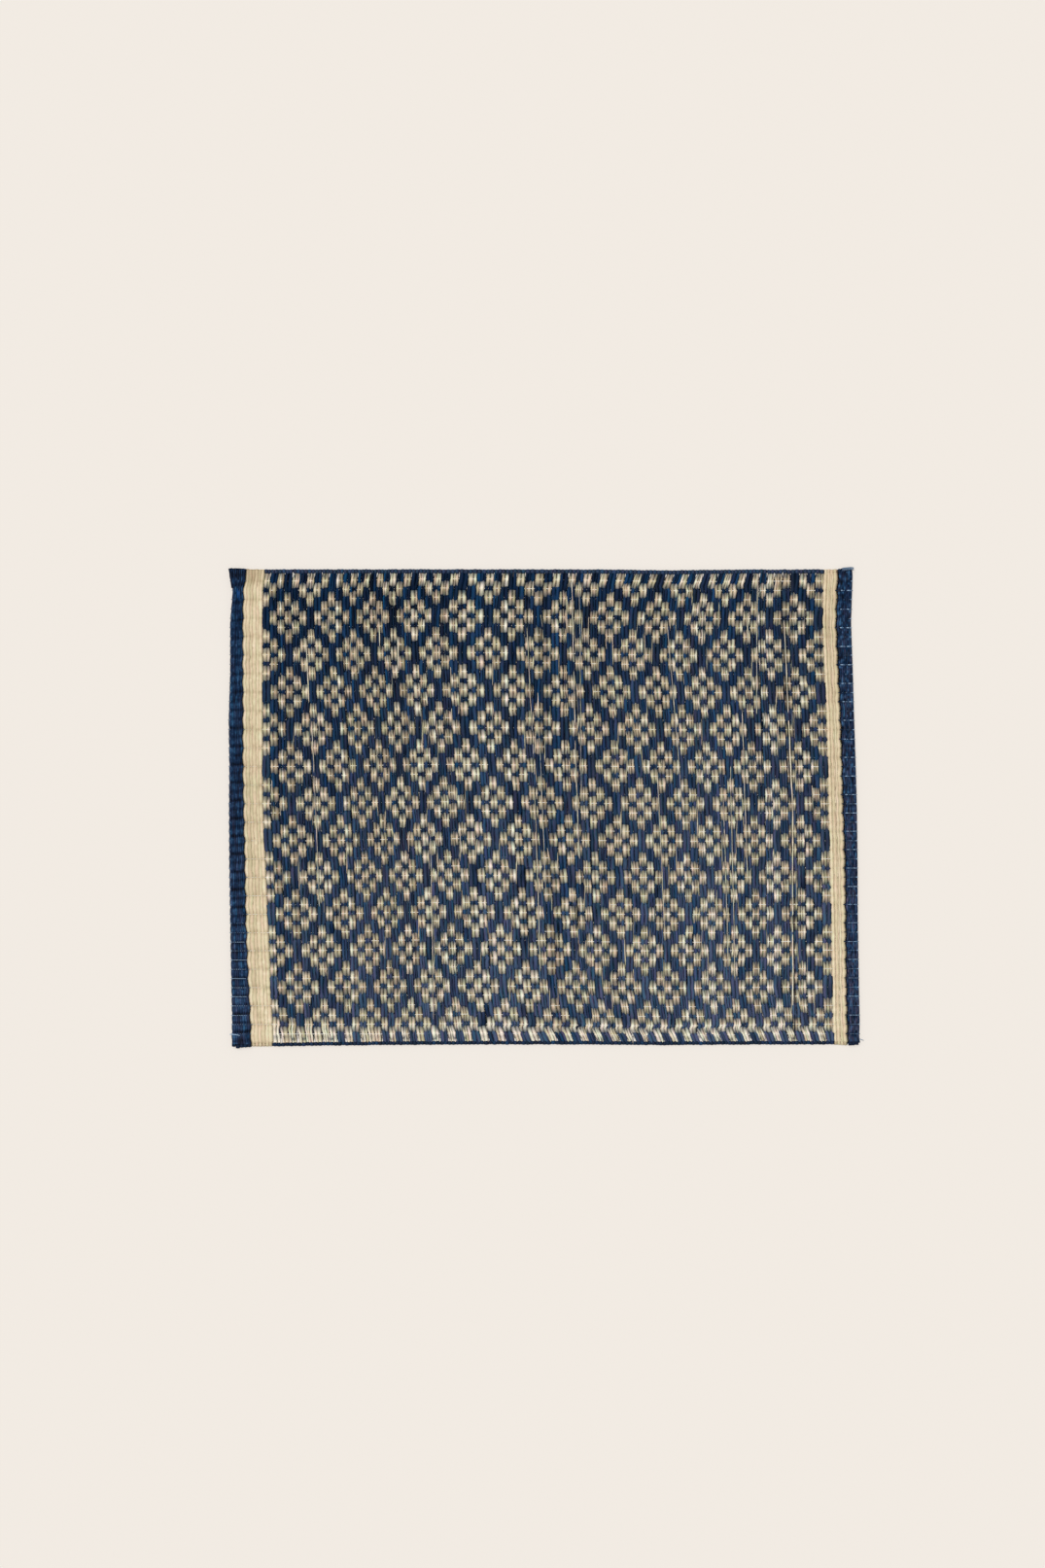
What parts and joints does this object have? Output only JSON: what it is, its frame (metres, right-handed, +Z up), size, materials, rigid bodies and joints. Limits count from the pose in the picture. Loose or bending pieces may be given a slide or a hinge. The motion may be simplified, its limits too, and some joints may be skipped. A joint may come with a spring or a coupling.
{
  "type": "reed placemat",
  "caption": "Flat rectangular placemat woven from split reeds in navy and natural, with a lattice of spotted diamonds and a plain natural and navy band at each end.",
  "frame": {"origin": "middle of the underside, which lies on the table", "axes": "+X along the long side, +Y along the reeds, away from the diner, +Z up out of the table"},
  "size_m": [0.4604, 0.3508, 0.0037],
  "materials": {
    "woven_reed": "matt woven reed cloth, navy and natural",
    "natural_reed": "dry split reed with a faint silky sheen along the fibre",
    "navy_reed": "dyed split reed with a faint silky sheen along the fibre",
    "cotton_thread": "twisted cotton, matt"
  },
  "bodies": {
    "root": {"woven_mat": "woven_reed"}
  },
  "joints": []
}
